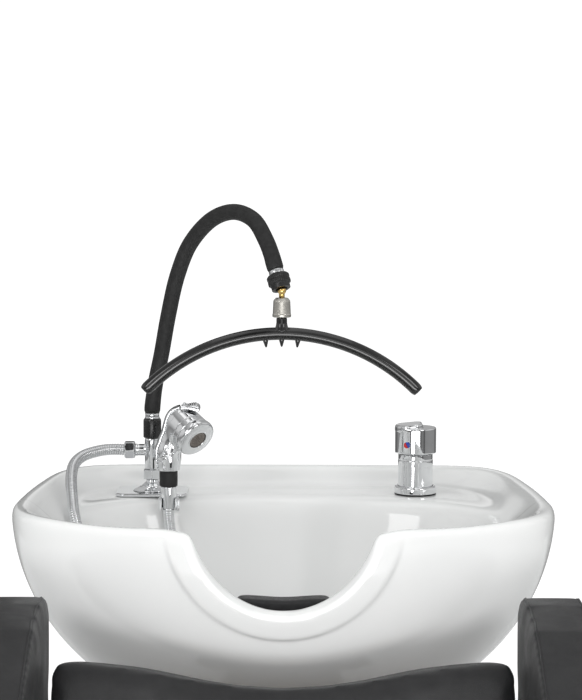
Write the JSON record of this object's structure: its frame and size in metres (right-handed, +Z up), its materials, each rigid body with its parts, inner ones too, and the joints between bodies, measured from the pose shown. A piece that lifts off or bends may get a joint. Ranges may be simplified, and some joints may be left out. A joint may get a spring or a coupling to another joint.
{
  "type": "shampoo backwash unit",
  "caption": "Salon backwash unit: upholstered seat with a tilting white ceramic basin, lever mixer, hand shower on a metal hose and a gooseneck rinse arch.",
  "frame": {"origin": "on the floor under the middle of the unit's bounding box", "axes": "+Z up; +Y from the seat towards the basin; +X to the right of somebody who faces the basin from the seat's side"},
  "size_m": [0.636, 1.1599, 1.2656],
  "materials": {
    "ceramic": "gloss",
    "chrome": "polished",
    "steel_hose": "polished",
    "stainless": "satin",
    "nickel": "satin",
    "brass": "polished",
    "vinyl": "satin",
    "gooseneck_rubber": "matte",
    "gel": "satin",
    "black_rubber": "matte",
    "black_gloss": "gloss",
    "black_plastic": "satin",
    "cover_gloss": "gloss",
    "painted_steel": "satin",
    "plywood": "matte",
    "white_plastic": "satin",
    "spray_rubber": "matte",
    "hot_red": "gloss",
    "cold_blue": "gloss"
  },
  "bodies": {
    "root": {"base_plate": "painted_steel", "glide_front_left": "black_rubber", "glide_front_right": "black_rubber", "glide_rear_left": "black_rubber", "glide_rear_right": "black_rubber", "inner_post": "painted_steel", "tilt_bracket": "painted_steel", "hinge_pin": "stainless", "pedestal_shell": "cover_gloss", "rear_cover": "cover_gloss", "seat_pedestal": "painted_steel", "seat_board": "plywood", "seat_cushion": "vinyl", "back_cushion": "vinyl", "back_board": "plywood", "back_strut_left": "painted_steel", "back_strut_right": "painted_steel", "arm_left": "vinyl", "arm_right": "vinyl", "arm_bracket_left": "painted_steel", "arm_bracket_right": "painted_steel"},
    "basin_unit": {"basin": "ceramic", "neck_rest": "gel", "drain_flange": "chrome", "drain_nut": "white_plastic", "tail_pipe": "white_plastic", "cradle": "painted_steel", "mixer_base_ring": "chrome", "mixer_body": "chrome", "mixer_lock_nut": "brass", "deck_plate": "chrome", "escutcheon": "chrome", "shank": "chrome", "shank_lock_nut": "brass", "shank_nut": "chrome", "tee": "chrome", "outlet_nut": "chrome", "handset_holder": "chrome", "shower_hose": "steel_hose"},
    "strainer": {"strainer": "stainless"},
    "tilt_handle": {"tilt_lever": "painted_steel"},
    "mixer_turn": {"mixer_cartridge": "chrome"},
    "mixer_lift": {"mixer_lever": "chrome", "indicator_hot": "hot_red", "indicator_cold": "cold_blue"},
    "neck_arm": {"swivel_collar": "black_plastic", "lower_ferrule": "chrome", "gooseneck": "gooseneck_rubber", "upper_ferrule": "chrome", "ball_nut": "black_plastic"},
    "ball": {"brass_ball": "brass"},
    "arch": {"coupling": "nickel", "rinse_arch": "black_gloss"},
    "handset": {"handset_ferrule": "chrome", "handset_sleeve": "black_rubber", "handset_body": "chrome", "handset_strap": "chrome", "spray_head": "chrome", "spray_face": "spray_rubber"},
    "trigger": {"thumb_lever": "chrome"}
  },
  "joints": [
    {"name": "basin_tilt", "type": "hinge", "parent": "root", "child": "basin_unit", "pos_m": [0, 0.36, 0.628], "axis": [1, 0, 0], "range_deg": [0, 5]},
    {"name": "tilt_lock", "type": "hinge", "parent": "root", "child": "tilt_handle", "pos_m": [0, 0.36, 0.628], "axis": [-1, 0, 0], "range_deg": [0, 25]},
    {"name": "mixer_temperature", "type": "hinge", "parent": "basin_unit", "child": "mixer_turn", "pos_m": [0.163, 0.487, 0.957], "axis": [0, 0, 1], "range_deg": [-45, 45]},
    {"name": "mixer_flow", "type": "hinge", "parent": "mixer_turn", "child": "mixer_lift", "pos_m": [0.163, 0.487, 0.957], "axis": [-1, 0, 0], "range_deg": [0, 8]},
    {"name": "gooseneck_swivel", "type": "hinge", "parent": "basin_unit", "child": "neck_arm", "pos_m": [-0.162, 0.487, 0.987], "axis": [0, 0, 1], "range_deg": [-40, 40]},
    {"name": "arch_tilt", "type": "hinge", "parent": "neck_arm", "child": "ball", "pos_m": [-0.0027, 0.3321, 1.167], "axis": [1, 0, 0], "range_deg": [-15, 15]},
    {"name": "arch_spin", "type": "hinge", "parent": "ball", "child": "arch", "pos_m": [-0.0027, 0.3321, 1.167], "axis": [0, 0, 1], "range_deg": [-90, 90]},
    {"name": "handset_lift", "type": "slide", "parent": "basin_unit", "child": "handset", "axis": [0, 0, 1], "range_m": [0, 0.03]},
    {"name": "handset_trigger", "type": "hinge", "parent": "handset", "child": "trigger", "pos_m": [-0.121, 0.428, 1.013], "axis": [0, 1, 0], "range_deg": [0, 6], "stiffness_Nm_per_rad": 0.5, "springref_deg": -8.59},
    {"name": "strainer_lift", "type": "slide", "parent": "basin_unit", "child": "strainer", "axis": [0, 0, 1], "range_m": [0, 0.03]}
  ]
}
